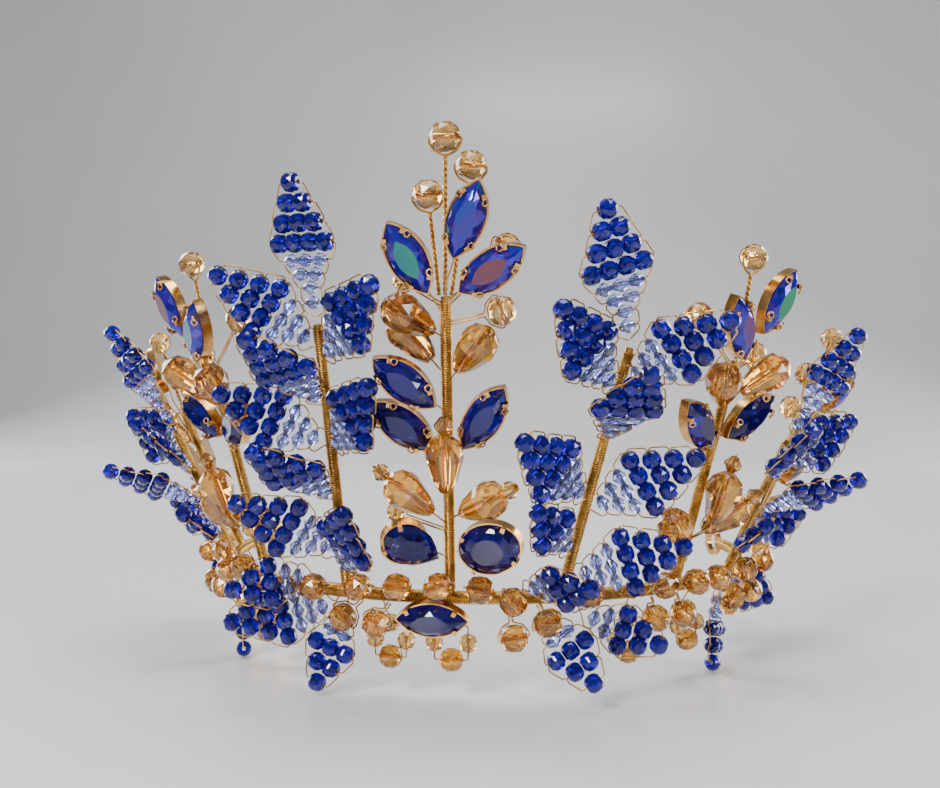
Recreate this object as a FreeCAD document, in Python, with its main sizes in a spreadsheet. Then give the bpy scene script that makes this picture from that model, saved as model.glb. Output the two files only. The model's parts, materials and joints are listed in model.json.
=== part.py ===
import FreeCAD, Part
import math
import os
import Sketcher
from FreeCAD import Matrix, Placement, Rotation, Vector

# An open-backed beaded wire crown. Millimetres, +Z up, front towards -Y, +X to the wearer's left.
# Nine ornaments stand on a wire band: five spires of stones and drops, and between them four
# branches of beaded leaves. Each ornament is laid out in a plane of its own: u runs along the
# band, v up the flared stem and w outwards, away from the head.

DIMENSIONS = {
    "band_radius": 68.0,
    "band_height": 17.0,
    "band_half_sweep": 104.0,
    "band_wire_radius": 1.1,
    "band_wrap_radius": 1.5,
    "stem_wire_radius": 0.9,
    "stem_wrap_radius": 1.25,
    "wrap_gap": 0.1,
    "eye_bore_radius": 2.5,
    "eye_outer_radius": 4.0,
    "eye_thickness": 1.4,
    "bead_bore": 1.0,
    "blue_bead_width": 4.0,
    "blue_bead_length": 3.55,
    "clear_bead_width": 3.0,
    "clear_bead_length": 3.3,
    "berry_width": 6.0,
    "small_bead_width": 4.0,
    "drop_bead_width": 5.2,
    "teardrop_width": 8.0,
    "teardrop_length": 12.0,
    "navette_width": 7.0,
    "navette_length": 15.0,
    "pear_width": 9.0,
    "pear_length": 12.5,
    "oval_width": 10.5,
    "oval_length": 13.0,
    "stone_height": 3.6,
    "stone_bevel": 1.3,
    "leaf_wire_radius": 0.15,
    "twig_wire_radius": 0.18,
    "row_pitch": 4.0,
    "clear_row_pitch": 2.8,
    "bead_gap": 0.12,
    "wire_loop": 1.0,
}
WRAP_SEGMENTS = 26

# Shapes of revolution as (share of the half width, share of the length) from one hole to the other.
RONDELLE = ((0.55, 0.0), (0.92, 0.22), (1.0, 0.5), (0.92, 0.78), (0.55, 1.0))
BICONE = ((0.45, 0.0), (1.0, 0.5), (0.45, 1.0))
ROUND = ((0.4, 0.0), (0.8, 0.13), (1.0, 0.36), (1.0, 0.64), (0.8, 0.87), (0.4, 1.0))
TEARDROP = ((0.3, 0.0), (0.56, 0.14), (0.9, 0.5), (1.0, 0.68), (0.84, 0.88), (0.42, 1.0))

# Bearing of each ornament round the band, from the front, and how its stem leans along u.
# name: (bearing, u of the stem's foot, u of its top, height of the stem, flare in degrees)
SPIRE_STEMS = {
    "centre": (0.0, -1.5, -0.6, 64.0, 14.0),
    "left_inner": (-44.0, 0.5, -1.5, 52.0, 15.0),
    "right_inner": (43.0, 0.5, 5.0, 52.0, 15.0),
    "left_outer": (-85.0, 0.0, -1.0, 43.0, 24.0),
    "right_outer": (85.0, 0.0, 1.0, 43.0, 24.0),
}
BRANCH_STEMS = {
    "left_inner": (-20.0, -1.5, 0.4, 59.0, 14.0),
    "right_inner": (20.0, -1.5, 8.5, 54.0, 14.0),
    "left_outer": (-65.0, 0.5, -2.0, 37.0, 24.0),
    "right_outer": (64.0, -0.5, 2.0, 35.0, 24.0),
}
BAND_FLARE = 14.0

# Rows of a leaf from its foot: clear beads, then blue ones.
LEAF_ROWS = {
    "tall": ((1, 1, 2, 3), (4, 3, 2, 1)),
    "broad": ((1, 2, 3), (4, 3, 2, 1)),
    "small": ((1, 2), (3, 2, 1)),
}

FIRST_ROW_HEIGHT = 4.2
LEAF_BEND = 0.9

# Leaves: (kind, u, v, turn from v towards u, pitch outwards, roll). None for u means on the stem.
LEAVES = {
    "left_inner": (
        ("tall", None, 59.4, 1, 6, 0),
        ("broad", None, 54.0, -46, 16, 12),
        ("broad", None, 51.0, 48, 16, -10),
        ("broad", None, 41.5, -12, 44, 0),
        ("broad", None, 33.0, -57, 18, 14),
        ("broad", None, 31.5, 46, 22, -12),
        ("broad", None, 21.0, -16, 48, 0),
        ("broad", None, 8.5, -50, 26, 10),
        ("broad", None, 4.2, 30, 32, -8),
        ("small", -9.0, 3.6, -84, 50, 10),
        ("broad", -4.0, -3.2, -97, 20, 0),
        ("small", -1.5, -2.6, -160, 26, 0),
    ),
    "right_inner": (
        ("tall", None, 54.5, -18, 6, 0),
        ("broad", None, 44.5, -41, 18, 12),
        ("broad", None, 46.5, 47, 28, -10),
        ("broad", None, 34.0, 2, 44, 0),
        ("broad", None, 21.5, -49, 22, 12),
        ("broad", None, 19.0, 55, 18, -14),
        ("small", None, 9.5, -42, 26, 8),
        ("broad", None, 4.0, 68, 16, -16),
        ("small", -11.0, 2.2, 58, 52, 0),
        ("small", -6.0, -2.6, 143, 38, 0),
        ("small", 2.0, -3.6, 104, 32, 0),
    ),
    "left_outer": (
        ("tall", None, 37.4, -6, 8, 26),
        ("broad", None, 28.5, -50, 18, 40),
        ("broad", None, 25.5, 44, 18, 16),
        ("broad", None, 16.5, -2, 46, 22),
        ("small", None, 9.0, -54, 22, 36),
        ("small", None, 8.0, 52, 22, 14),
        ("small", -4.0, -2.8, -104, 24, 0),
        ("small", 3.0, -2.8, 166, 24, 0),
    ),
    "right_outer": (
        ("tall", None, 35.4, 6, 8, -26),
        ("broad", None, 24.5, -44, 18, -16),
        ("broad", None, 27.5, 50, 18, -40),
        ("broad", None, 16.0, 2, 46, -22),
        ("small", None, 7.5, -54, 22, -14),
        ("small", None, 8.6, 58, 22, -36),
        ("small", 4.0, -2.8, 104, 24, 0),
        ("small", -3.0, -2.8, -166, 24, 0),
    ),
}

# Pieces on a spire: (kind, v of the root on the stem, w of the root, turn, pitch, reach to the
# near end). A root that stands off the stem has a wire that climbs to it from lower down.
SPIRES = {
    "centre": (
        ("ab", 66.5, 3.0, 20, 0, 6.0),
        ("ab", 61.0, 2.6, -28, 4, 5.2),
        ("ab", 63.8, 2.2, 56, 8, 3.4),
        ("round", 62.0, -1.1, 48, -14, 13.6),
        ("round", 58.5, 0.0, 76, 6, 8.6),
        ("small", 62.0, 0.0, -62, -18, 8.6),
        ("teardrop", 55.6, 0.0, -51, 30, 3.4),
        ("teardrop", 48.0, 0.0, -44, -12, 4.4),
        ("teardrop", 46.5, 0.0, 38, 24, 4.4),
        ("navy", 41.6, 2.4, -50, 2, 1.9),
        ("navy", 31.0, 0.0, -50, 4, 3.9),
        ("navy", 28.5, 0.0, 34, 4, 6.4),
        ("tipped_teardrop", 24.0, 5.4, 1, 6, 1.6),
        ("tipped_teardrop", 16.2, 0.0, -44, 16, 5.0),
        ("tipped_teardrop", 17.6, 0.0, 55, 26, 3.8),
        ("navy_bead", 15.0, 0.0, -76, -14, 10.4),
        ("pear", 8.6, 0.0, -56, 20, 3.4),
        ("oval", 9.8, 0.0, 72, 12, 3.2),
    ),
    "left_inner": (
        ("ab", 55.0, 2.4, -24, 0, 4.6),
        ("ab", 50.0, 2.4, 30, 4, 4.0),
        ("round", 51.0, -1.1, 44, -15, 10.6),
        ("round", 49.0, 0.0, -70, -16, 8.6),
        ("teardrop", 42.5, 0.0, -42, 24, 4.2),
        ("teardrop", 40.5, 0.0, 44, 24, 4.2),
        ("navy", 33.0, 0.0, -50, 4, 3.4),
        ("navy", 31.0, 0.0, 48, 4, 3.4),
        ("tipped_teardrop", 15.5, 5.4, -3, 6, 1.2),
        ("tipped_teardrop", 10.5, 0.0, -48, 18, 4.4),
        ("tipped_teardrop", 9.0, 0.0, 52, 18, 4.4),
    ),
    "left_outer": (
        ("ab", 45.5, 2.4, -22, 0, 4.0),
        ("ab", 40.5, 2.4, 34, 4, 4.0),
        ("round", 41.5, -1.1, 44, -15, 10.0),
        ("round", 38.5, 0.0, -72, -12, 9.0),
        ("teardrop", 31.4, 0.0, 56, 22, 4.2),
        ("teardrop", 30.5, 0.0, -42, 22, 4.4),
        ("navy", 22.0, 0.0, -50, 4, 3.4),
        ("navy", 20.5, 0.0, 46, 4, 3.4),
        ("tipped_teardrop", 6.5, 0.0, -40, 26, 4.6),
        ("teardrop", 5.5, 0.0, 42, 26, 4.6),
    ),
}
MIRRORED_SPIRES = {"right_inner": "left_inner", "right_outer": "left_outer"}

# Round-bead sprigs that tremble: (spire, u of the root beside the stem's top, turn, pitch,
# length to the bead's centre).
SPRIGS = {
    "top_sprig": ("centre", 0.0, 2, 2, 30.0),
    "right_sprig": ("centre", 1.2, 9, -14, 25.6),
    "left_sprig": ("centre", -1.2, -7, -16, 20.0),
    "left_inner_sprig": ("left_inner", 0.0, -2, -4, 22.0),
    "right_inner_sprig": ("right_inner", 0.0, 2, -4, 22.0),
    "left_outer_sprig": ("left_outer", 0.0, -4, -4, 19.0),
    "right_outer_sprig": ("right_outer", 0.0, 4, -4, 19.0),
}
SPRIG_CLEARANCE = 0.4
TWIG_CLIMB = 4.0
TWIG_SPREAD = 0.9

# Beads on the band: (bearing, rise above the band, turn, pitch outwards, length of their loop).
BERRIES = (
    (-1.5, 0.6, -20, 50, 5.4),
    (3.6, 1.2, 12, 60, 5.2),
    (9.0, -1.4, 170, 46, 6.2),
    (7.5, 0.6, 60, 66, 5.4),
    (14.0, -0.6, 150, 66, 5.4),
    (22.5, 0.6, -20, 66, 5.4),
    (36.5, 0.2, -10, 60, 5.4),
    (37.5, -0.6, -150, 50, 5.4),
    (42.5, 0.6, 20, 64, 5.4),
    (44.0, -0.6, -150, 50, 5.4),
    (48.5, 0.2, 24, 60, 5.4),
    (55.0, -0.5, 130, 56, 5.4),
    (58.5, 0.6, 60, 50, 5.4),
    (67.5, -0.6, -150, 64, 5.4),
    (73.5, 0.2, -20, 62, 5.4),
    (90.0, 0.2, 30, 62, 5.4),
    (-9.5, 1.0, 6, 58, 5.2),
    (-12.0, -0.6, -150, 50, 5.4),
    (-15.5, 1.0, -14, 62, 5.2),
    (-17.2, -0.6, -130, 56, 5.8),
    (-24.0, 0.6, -20, 66, 5.4),
    (-36.0, -0.6, -150, 36, 5.4),
    (-38.5, 0.2, 24, 60, 5.4),
    (-44.8, 0.6, 20, 52, 5.4),
    (-45.0, -0.6, 150, 66, 5.4),
    (-49.0, 0.2, -24, 60, 5.4),
    (-55.5, -0.5, -130, 56, 5.4),
    (-57.0, 0.6, 20, 36, 5.4),
    (-64.5, -0.6, -150, 66, 5.4),
    (-73.5, 0.2, 20, 62, 5.4),
    (-90.0, 0.2, -30, 62, 5.4),
)
# Rings of three small beads and a golden drop, hanging under the band.
RING_BEARINGS = (-13.2, -1.4, 33.5, 50.0, -48.5, -87.0, 87.0)
RING_HALF_SIDE = 3.65
RING_DROP_HEIGHT = 3.2

doc = FreeCAD.newDocument("crown")


def make_sheet():
    """The driving dimensions, one aliased cell each."""
    made = doc.addObject("Spreadsheet::Sheet", "dims")
    for row, (name, value) in enumerate(DIMENSIONS.items(), start=1):
        made.set(f"A{row}", name)
        made.set(f"B{row}", str(value))
        made.setAlias(f"B{row}", name)
    doc.recompute()
    return made


sheet = make_sheet()


def dim(name):
    """A driving dimension, read from the sheet."""
    return float(getattr(sheet, name))


BAND_RADIUS = dim("band_radius")
BORE_RADIUS = dim("bead_bore") / 2
LEAF_WIRE = dim("leaf_wire_radius")
TWIG_WIRE = dim("twig_wire_radius")
GAP = dim("bead_gap")
STRAND_LIFT = LEAF_WIRE + 0.07


# ---------------------------------------------------------------- parametric masters


def bound_sketch(body, corners):
    """A closed outline on the XZ plane, each corner given by two expressions of the sheet."""
    sketch = body.newObject("Sketcher::SketchObject", body.Name + "_profile")
    sketch.AttachmentSupport = [(next(f for f in body.Origin.OriginFeatures if f.Role == "XZ_Plane"), "")]
    sketch.MapMode = "FlatFace"
    places = [tuple(float(body.evalExpression(text)) for text in corner) for corner in corners]
    ends = places[1:] + places[:1]
    for start, end in zip(places, ends):
        sketch.addGeometry(Part.LineSegment(Vector(*start, 0), Vector(*end, 0)), False)
    for i in range(len(corners)):
        sketch.addConstraint(Sketcher.Constraint("Coincident", i, 2, (i + 1) % len(corners), 1))
    for i, (corner, place) in enumerate(zip(corners, places)):
        for kind, text, value in zip(("DistanceX", "DistanceY"), corner, place):
            if value == 0:
                sketch.addConstraint(Sketcher.Constraint("PointOnObject", i, 1, -1))
                continue
            index = sketch.addConstraint(Sketcher.Constraint(kind, -1, 1, i, 1, value))
            sketch.setExpression(f"Constraints[{index}]", text)
    return sketch


def turned_master(name, width, length, shape):
    """A bored bead turned about Z, from z = 0 to its length, as a PartDesign revolution."""
    body = doc.addObject("PartDesign::Body", name + "_master")
    corners = [("dims.bead_bore / 2", "0")]
    corners += [(f"{width} * {half / 2}", f"{length} * {share}" if share else "0") for half, share in shape]
    corners.append(("dims.bead_bore / 2", length))
    sketch = bound_sketch(body, corners)
    turn = body.newObject("PartDesign::Revolution", name + "_turn")
    turn.Profile = sketch
    turn.ReferenceAxis = (sketch, ["V_Axis"])
    turn.Angle = 360.0
    body.Tip = turn
    return body


def ring_master(name, outer, inner, thickness):
    """A flat washer about Z, cut from two bound cylinders."""
    rim = doc.addObject("Part::Cylinder", name + "_rim")
    rim.setExpression("Radius", outer)
    rim.setExpression("Height", thickness)
    hole = doc.addObject("Part::Cylinder", name + "_hole")
    hole.setExpression("Radius", inner)
    hole.setExpression("Height", f"{thickness} + 2")
    hole.Placement = Placement(Vector(0, 0, -1), Rotation())
    ring = doc.addObject("Part::Cut", name + "_master")
    ring.Base = rim
    ring.Tool = hole
    return ring


def arc_master(name, radius, sweep):
    """A bent rod round Z, from the X axis through the sweep, as a bound torus."""
    rod = doc.addObject("Part::Torus", name)
    rod.setExpression("Radius1", "dims.band_radius")
    rod.setExpression("Radius2", radius)
    rod.setExpression("Angle3", sweep)
    return rod


def sleeve_master(name, sweep):
    """One wound stretch of the band's wrap: a bent tube round Z."""
    outside = arc_master(name + "_outside", "dims.band_wrap_radius", sweep)
    inside = arc_master(name + "_inside", "dims.band_wire_radius + dims.wrap_gap", sweep)
    sleeve = doc.addObject("Part::Cut", name + "_master")
    sleeve.Base = outside
    sleeve.Tool = inside
    return sleeve


# ---------------------------------------------------------------- small geometry helpers


def polar(bearing, radius, height):
    """A point at a bearing from the front, seen from above."""
    angle = math.radians(bearing)
    return Vector(radius * math.sin(angle), -radius * math.cos(angle), height)


def frame_at(bearing, flare=BAND_FLARE):
    """The placement of an ornament's (u, v, w) frame on the band."""
    angle = math.radians(bearing)
    lean = math.radians(flare)
    out = Vector(math.sin(angle), -math.cos(angle), 0)
    along = Vector(math.cos(angle), math.sin(angle), 0)
    rise = out * math.sin(lean) + Vector(0, 0, math.cos(lean))
    face = along.cross(rise)
    foot = polar(bearing, BAND_RADIUS, dim("band_height"))
    rows = [(along[i], rise[i], face[i], foot[i]) for i in range(3)]
    return Placement(Matrix(*rows[0], *rows[1], *rows[2], 0, 0, 0, 1))


def aim(place, turn, pitch, roll=0.0):
    """A placement whose y axis points along turn and pitch, and whose z axis is the face."""
    spin = Rotation(Vector(0, 0, 1), -turn)
    lift = Rotation(Vector(1, 0, 0), pitch)
    twist = Rotation(Vector(0, 1, 0), roll)
    return Placement(place, spin.multiply(lift).multiply(twist))


def placed(shape, placement):
    """A copy of a shape, moved by a placement."""
    copy = shape.copy()
    copy.Placement = placement.multiply(shape.Placement)
    return copy


def bent_wire(points, bend, radius):
    """A round wire along straight runs joined by tangent arcs."""
    edges = []
    start = points[0]
    for before, corner, after in zip(points, points[1:], points[2:]):
        back = (before - corner).normalize()
        on = (after - corner).normalize()
        turn = math.pi - back.getAngle(on)
        reach = bend * math.tan(turn / 2)
        if turn < 0.02:
            continue
        enter = corner + back * reach
        leave = corner + on * reach
        middle_way = (back + on).normalize()
        middle = corner + middle_way * (bend / math.cos(turn / 2) - bend)
        edges.append(Part.LineSegment(start, enter).toShape())
        edges.append(Part.Arc(enter, middle, leave).toShape())
        start = leave
    edges.append(Part.LineSegment(start, points[-1]).toShape())
    path = Part.Wire(edges)
    direction = points[1] - points[0]
    section = Part.Face(Part.Wire([Part.makeCircle(radius, points[0], direction)]))
    return path.makePipe(section)


def along_y(shape):
    """A shape of revolution about Z turned to lie along +Y."""
    return placed(shape, Placement(Vector(), Rotation(Vector(1, 0, 0), -90)))


def across_x(shape, length):
    """A shape of revolution about Z turned to lie along X, centred on the origin."""
    return placed(shape, Placement(Vector(-length / 2, 0, 0), Rotation(Vector(0, 1, 0), 90)))


# ---------------------------------------------------------------- stones and settings


def navette_face(length, width):
    """A pointed oval about the origin, its points on the Y axis."""
    foot = Vector(0, -length / 2, 0)
    top = Vector(0, length / 2, 0)
    sides = [Part.Arc(foot, Vector(x, 0, 0), top).toShape() for x in (width / 2, -width / 2)]
    return Part.Face(Part.Wire([sides[0], sides[1]]))


def oval_face(length, width):
    """An ellipse about the origin, long along Y."""
    ellipse = Part.Ellipse(Vector(0, length / 2, 0), Vector(width / 2, 0, 0), Vector())
    return Part.Face(Part.Wire([ellipse.toShape()]))


def pear_face(length, width):
    """A rounded drop outline, its narrow end towards -Y."""
    half = width / 2
    centre = length / 2 - half
    side = math.acos(half / (centre + length / 2))
    tangent = Vector(half * math.sin(side), centre - half * math.cos(side), 0)
    foot = Vector(0, -length / 2, 0)
    other = Vector(-tangent.x, tangent.y, 0)
    edges = [
        Part.LineSegment(foot, tangent).toShape(),
        Part.Arc(tangent, Vector(0, length / 2, 0), other).toShape(),
        Part.LineSegment(other, foot).toShape(),
    ]
    return Part.Face(Part.Wire(edges))


def cut_stone(face):
    """A stone with a bevelled crown and pavilion, from z = 0 up."""
    height = dim("stone_height")
    block = face.extrude(Vector(0, 0, height))
    rims = [e for e in block.Edges if all(abs(v.Z - e.Vertexes[0].Z) < 1e-6 for v in e.Vertexes)]
    flat = [e for e in rims if e.BoundBox.ZLength < 1e-6]
    return block.makeChamfer(dim("stone_bevel"), flat)


def claw_setting(outline, length, width, sides):
    """A thin metal tray with a low wall and claws that reach over the stone's girdle."""
    floor_low = -GAP - 0.35
    wall_top = dim("stone_height") / 2
    tray = outline(length + 0.9, width + 0.9).extrude(Vector(0, 0, wall_top - floor_low))
    tray.translate(Vector(0, 0, floor_low))
    room = outline(length + 0.3, width + 0.3).extrude(Vector(0, 0, wall_top + GAP + 1))
    room.translate(Vector(0, 0, -GAP))
    setting = tray.cut(room)
    claw_top = dim("stone_height") - dim("stone_bevel") + 0.75
    for x, y, angle in sides:
        post = Part.makeBox(0.9, 0.32, claw_top - wall_top + 0.9, Vector(-0.45, 0.0, wall_top - 0.9))
        lip = Part.makeBox(0.9, 1.0, 0.3, Vector(-0.45, -0.68, claw_top - 0.3))
        claw = post.fuse(lip)
        claw.Placement = Placement(Vector(x, y, 0), Rotation(Vector(0, 0, 1), angle))
        setting = setting.fuse(claw)
    return setting.removeSplitter()


def navette_claws(length, width):
    """Claw places near the two points of a navette, each facing inwards."""
    radius = (length * length / 4 + width * width / 4) / width
    half_arc = math.asin(length / 2 / radius)
    claws = []
    for side in (1, -1):
        for end in (1, -1):
            angle = 0.62 * half_arc * end
            reach = radius + 0.18
            x = side * (reach * math.cos(angle) - (radius - width / 2))
            y = reach * math.sin(angle)
            claws.append((x, y, math.degrees(math.atan2(math.sin(angle), side * math.cos(angle))) - 90))
    return claws


def oval_claws(length, width):
    """Four claw places round an ellipse."""
    claws = []
    for step in (45, 135, 225, 315):
        angle = math.radians(step)
        x = width / 2 * math.cos(angle)
        y = length / 2 * math.sin(angle)
        normal = Vector(math.cos(angle) / width, math.sin(angle) / length, 0).normalize()
        bearing = math.degrees(math.atan2(normal.y, normal.x)) - 90
        claws.append((x + 0.18 * normal.x, y + 0.18 * normal.y, bearing))
    return claws


# ---------------------------------------------------------------- leaves


def leaf_rows(kind):
    """The rows of a leaf: (height above the foot, number of beads, blue or not)."""
    clear_counts, blue_counts = LEAF_ROWS[kind]
    rows = []
    height = FIRST_ROW_HEIGHT
    for i, count in enumerate(clear_counts):
        if i:
            equal = count == clear_counts[i - 1]
            height += dim("clear_bead_width") + 0.15 if equal else dim("clear_row_pitch")
        rows.append((height, count, False))
    height += (dim("clear_bead_width") + dim("blue_bead_width")) / 2 + 0.1
    for i, count in enumerate(blue_counts):
        height += dim("row_pitch") if i else 0
        rows.append((height, count, True))
    return rows


def leaf_strand(rows, side, lift, tie=None):
    """One of the two wires that lace a leaf: in from the foot, then across each row in turn."""
    loop = dim("wire_loop")
    points = [tie] if tie else []
    points.append(Vector(-0.2 * side, 1.2, lift))
    first_half = half_row(rows[0]) + 0.9
    points.append(Vector(-side * first_half, rows[0][0] - 1.5, lift))
    way = side
    for i, row in enumerate(rows):
        half = half_row(row)
        enter = first_half if i == 0 else half + loop
        points.append(Vector(-way * enter, row[0], lift))
        last = i == len(rows) - 1
        points.append(Vector(way * (half + (0.5 if last else loop)), row[0], lift))
        way = -way
    return bent_wire(points, LEAF_BEND, LEAF_WIRE)


def half_row(row):
    """Half the length of a row of beads."""
    length = dim("blue_bead_length") if row[2] else dim("clear_bead_length")
    return row[1] * (length + GAP) / 2


def make_leaf(kind):
    """A leaf in its own plane, foot at the origin, tip towards +Y."""
    rows = leaf_rows(kind)
    leaf = {"blue": [], "clear": []}
    for height, count, blue in rows:
        length = dim("blue_bead_length") if blue else dim("clear_bead_length")
        bead = BLUE_BEAD if blue else CLEAR_BEAD
        for i in range(count):
            x = (i - (count - 1) / 2) * (length + GAP)
            threaded = placed(bead, Placement(Vector(x, height, 0), Rotation()))
            leaf["blue" if blue else "clear"].append(threaded)
    leaf["wire"] = [leaf_strand(rows, side, side * STRAND_LIFT) for side in (1, -1)]
    return leaf


# ---------------------------------------------------------------- masters in place

MASTERS = {
    "blue": turned_master("blue_bead", "dims.blue_bead_width", "dims.blue_bead_length", RONDELLE),
    "clear": turned_master("clear_bead", "dims.clear_bead_width", "dims.clear_bead_length", BICONE),
    "berry": turned_master("berry", "dims.berry_width", "dims.berry_width * 0.94", ROUND),
    "small": turned_master("small_bead", "dims.small_bead_width", "dims.small_bead_width * 0.94", ROUND),
    "drop": turned_master("drop_bead", "dims.drop_bead_width", "dims.drop_bead_width * 0.94", ROUND),
    "tip": turned_master("tip_bead", "dims.small_bead_width", "dims.small_bead_width * 0.9", BICONE),
    "teardrop": turned_master("teardrop", "dims.teardrop_width", "dims.teardrop_length", TEARDROP),
}
EYE = ring_master("eye", "dims.eye_outer_radius", "dims.eye_bore_radius", "dims.eye_thickness")
CORE = arc_master("band_core", "dims.band_wire_radius", "2 * dims.band_half_sweep")
WRAP = sleeve_master("band_wrap", f"2 * dims.band_half_sweep / {WRAP_SEGMENTS} - 0.2")
doc.recompute()

BERRY_LENGTH = dim("berry_width") * 0.94
SMALL_LENGTH = dim("small_bead_width") * 0.94
DROP_LENGTH = dim("drop_bead_width") * 0.94
TIP_LENGTH = dim("small_bead_width") * 0.9
BLUE_BEAD = across_x(MASTERS["blue"].Shape, dim("blue_bead_length"))
CLEAR_BEAD = across_x(MASTERS["clear"].Shape, dim("clear_bead_length"))
BERRY = across_x(MASTERS["berry"].Shape, BERRY_LENGTH)
SMALL_BEAD = across_x(MASTERS["small"].Shape, SMALL_LENGTH)
DROP_BEAD = across_x(MASTERS["drop"].Shape, DROP_LENGTH)
TIP_BEAD = along_y(MASTERS["tip"].Shape)
SMALL_ALONG = along_y(MASTERS["small"].Shape)
TEAR = along_y(MASTERS["teardrop"].Shape)

NAVETTE = cut_stone(navette_face(dim("navette_length"), dim("navette_width")))
NAVETTE_SETTING = claw_setting(
    navette_face,
    dim("navette_length"),
    dim("navette_width"),
    navette_claws(dim("navette_length"), dim("navette_width")),
)
PEAR = cut_stone(pear_face(dim("pear_length"), dim("pear_width")))
OVAL = cut_stone(oval_face(dim("oval_length"), dim("oval_width")))
OVAL_SETTING = claw_setting(
    oval_face,
    dim("oval_length"),
    dim("oval_width"),
    oval_claws(dim("oval_length"), dim("oval_width")),
)
PEAR_CLAW_X = dim("pear_width") / 2 * 0.7 + 0.14
PEAR_CLAW_Y = dim("pear_length") / 2 - dim("pear_width") / 2
PEAR_SETTING = claw_setting(
    pear_face,
    dim("pear_length"),
    dim("pear_width"),
    [(PEAR_CLAW_X, PEAR_CLAW_Y + PEAR_CLAW_X, -45), (-PEAR_CLAW_X, PEAR_CLAW_Y + PEAR_CLAW_X, 45)],
)
LEAF_SHAPES = {kind: make_leaf(kind) for kind in LEAF_ROWS}

# ---------------------------------------------------------------- nodes

nodes = {}


def add(node, shape, placement=None):
    """Put one solid into a node, in the frame of the whole crown."""
    for solid in shape.Solids:
        nodes.setdefault(node, []).append(placed(solid, placement) if placement else solid)


def looped_wire(length, bead_length, bead_width, start=0.0):
    """A doubled wire to a bead across its end: legs side by side, then close round and through it."""
    leg = 0.32
    half = bead_width / 2
    side = bead_length / 2 + 0.48
    half_loop = [
        Vector(leg, start, 0),
        Vector(leg, length - half - 0.6, 0),
        Vector(0.735 * half, length - 0.92 * half, 0),
        Vector(side, length - half / 3, 0),
        Vector(side, length, 0),
    ]
    other_half = [Vector(-p.x, p.y, 0) for p in half_loop]
    return bent_wire(other_half + half_loop[::-1], 0.4, TWIG_WIRE)


def stem_u(stem, height):
    """Where a stem stands along u at a height."""
    _, foot, top, full, _ = stem
    return foot + (top - foot) * height / full


def add_stem(node, wrap_node, stem):
    """A straight stem of bundled wire with its wound sleeve."""
    bearing, foot, top, height, flare = stem
    foot_point = Vector(foot, dim("band_wire_radius") + 0.15, 0)
    run = Vector(top, height, 0) - foot_point
    core = Part.makeCylinder(dim("stem_wire_radius"), run.Length, foot_point, run)
    base = foot_point + run * (0.65 / run.Length)
    outside = Part.makeCylinder(dim("stem_wrap_radius"), run.Length - 1.6, base, run)
    inside = Part.makeCylinder(dim("stem_wire_radius") + dim("wrap_gap"), run.Length, base, run)
    frame = frame_at(bearing, flare)
    add(node, core, frame)
    add(wrap_node, outside.cut(inside), frame)


def add_leaf(branch, stem, leaf):
    """One leaf on a branch or on the band beside it."""
    kind, u, v, turn, pitch, roll = leaf
    on_stem = u is None
    place = Vector(stem_u(stem, v) if on_stem else u, v, 0)
    local = aim(place, turn, pitch, roll)
    pose = frame_at(stem[0], stem[4]).multiply(local)
    shapes = LEAF_SHAPES[kind]
    for solid in shapes["blue"]:
        add(f"{branch}_branch_blue_beads", solid, pose)
    for solid in shapes["clear"]:
        add(f"{branch}_branch_clear_beads", solid, pose)
    wires = shapes["wire"]
    if not on_stem:
        rows = leaf_rows(kind)
        ties = {side: band_tie(local, u, v, side) for side in (1, -1)}
        wires = [leaf_strand(rows, side, side * STRAND_LIFT, tie) for side, tie in ties.items()]
    for solid in wires:
        add(f"{branch}_branch_leaf_wires", solid, pose)


def band_tie(local, u, v, side):
    """Where one strand of a leaf that stands on the band leaves its wrap, in the leaf's plane."""
    wrap = Vector(u, math.copysign(dim("band_wrap_radius") - 0.1, v), 0.3 * side)
    return local.inverse().multVec(wrap)


def spire_nodes(spire):
    """Names of the nodes that hold a spire's pieces."""
    owner = "centre_spire" if spire == "centre" else "side_spire"
    return {
        "ab": f"{owner}_aurora_navettes",
        "navy": f"{owner}_navy_navettes",
        "teardrop": f"{owner}_teardrops",
        "setting": f"{owner}_settings",
        "wire": f"{owner}_twig_wires",
        "bead": f"{owner}_beads",
        "crystal": "centre_spire_crystals",
    }


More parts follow.
